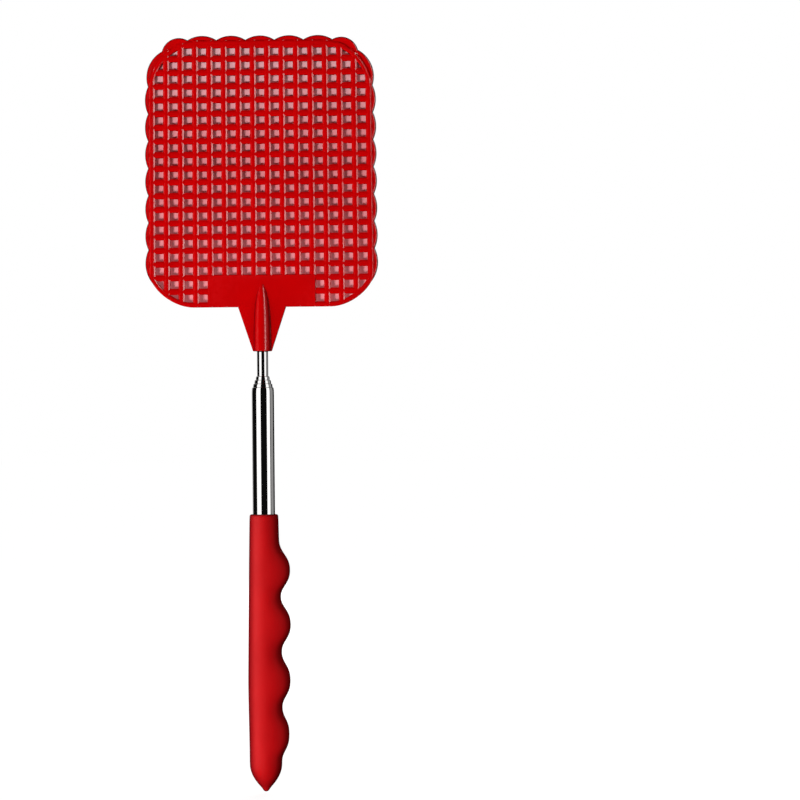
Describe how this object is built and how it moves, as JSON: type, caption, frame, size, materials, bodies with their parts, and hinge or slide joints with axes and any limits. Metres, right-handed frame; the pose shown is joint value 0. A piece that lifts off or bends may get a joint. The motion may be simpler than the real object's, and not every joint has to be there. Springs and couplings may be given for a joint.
{
  "type": "fly swatter",
  "caption": "Hand fly swatter: a scalloped mesh swat on a telescopic chromed pole with a finger-shaped rubber grip.",
  "frame": {"origin": "on the pole's axis, at the middle of the grip", "axes": "+Z along the pole towards the swat, -Y out of the swat's face, +X out of the finger swells"},
  "size_m": [0.0874, 0.0136, 0.2836],
  "materials": {
    "red_plastic": "glossy injection-moulded red polyethylene",
    "red_rubber": "satin moulded rubber",
    "polished_steel": "mirror-polished, drawn tube",
    "brass": "turned, unpolished",
    "spring_bronze": "rolled strip",
    "plug_plastic": "matte moulded"
  },
  "bodies": {
    "handle": {"grip": "red_rubber", "base_plug": "plug_plastic", "tube_1": "polished_steel"},
    "stage_2": {"tube_2": "polished_steel", "bush_2": "brass", "spring_2_front": "spring_bronze", "spring_2_back": "spring_bronze"},
    "stage_3": {"tube_3": "polished_steel", "bush_3": "brass", "spring_3_front": "spring_bronze", "spring_3_back": "spring_bronze"},
    "stage_4": {"tube_4": "polished_steel", "bush_4": "brass", "spring_4_front": "spring_bronze", "spring_4_back": "spring_bronze"},
    "tip_slider": {"spring_5_front": "spring_bronze", "spring_5_back": "spring_bronze"},
    "swat": {"tube_5": "polished_steel", "bush_5": "brass", "swat_head": "red_plastic"}
  },
  "joints": [
    {"name": "stage_2_slide", "type": "slide", "parent": "handle", "child": "stage_2", "axis": [0, 0, 1], "range_m": [0, 0.1245]},
    {"name": "stage_3_slide", "type": "slide", "parent": "stage_2", "child": "stage_3", "axis": [0, 0, 1], "range_m": [0, 0.1164]},
    {"name": "stage_4_slide", "type": "slide", "parent": "stage_3", "child": "stage_4", "axis": [0, 0, 1], "range_m": [0, 0.1083]},
    {"name": "tip_slide", "type": "slide", "parent": "stage_4", "child": "tip_slider", "axis": [0, 0, 1], "range_m": [0, 0.1002]},
    {"name": "swat_spin", "type": "hinge", "parent": "tip_slider", "child": "swat", "pos_m": [0, 0, 0.1128], "axis": [0, 0, 1], "continuous": true}
  ]
}
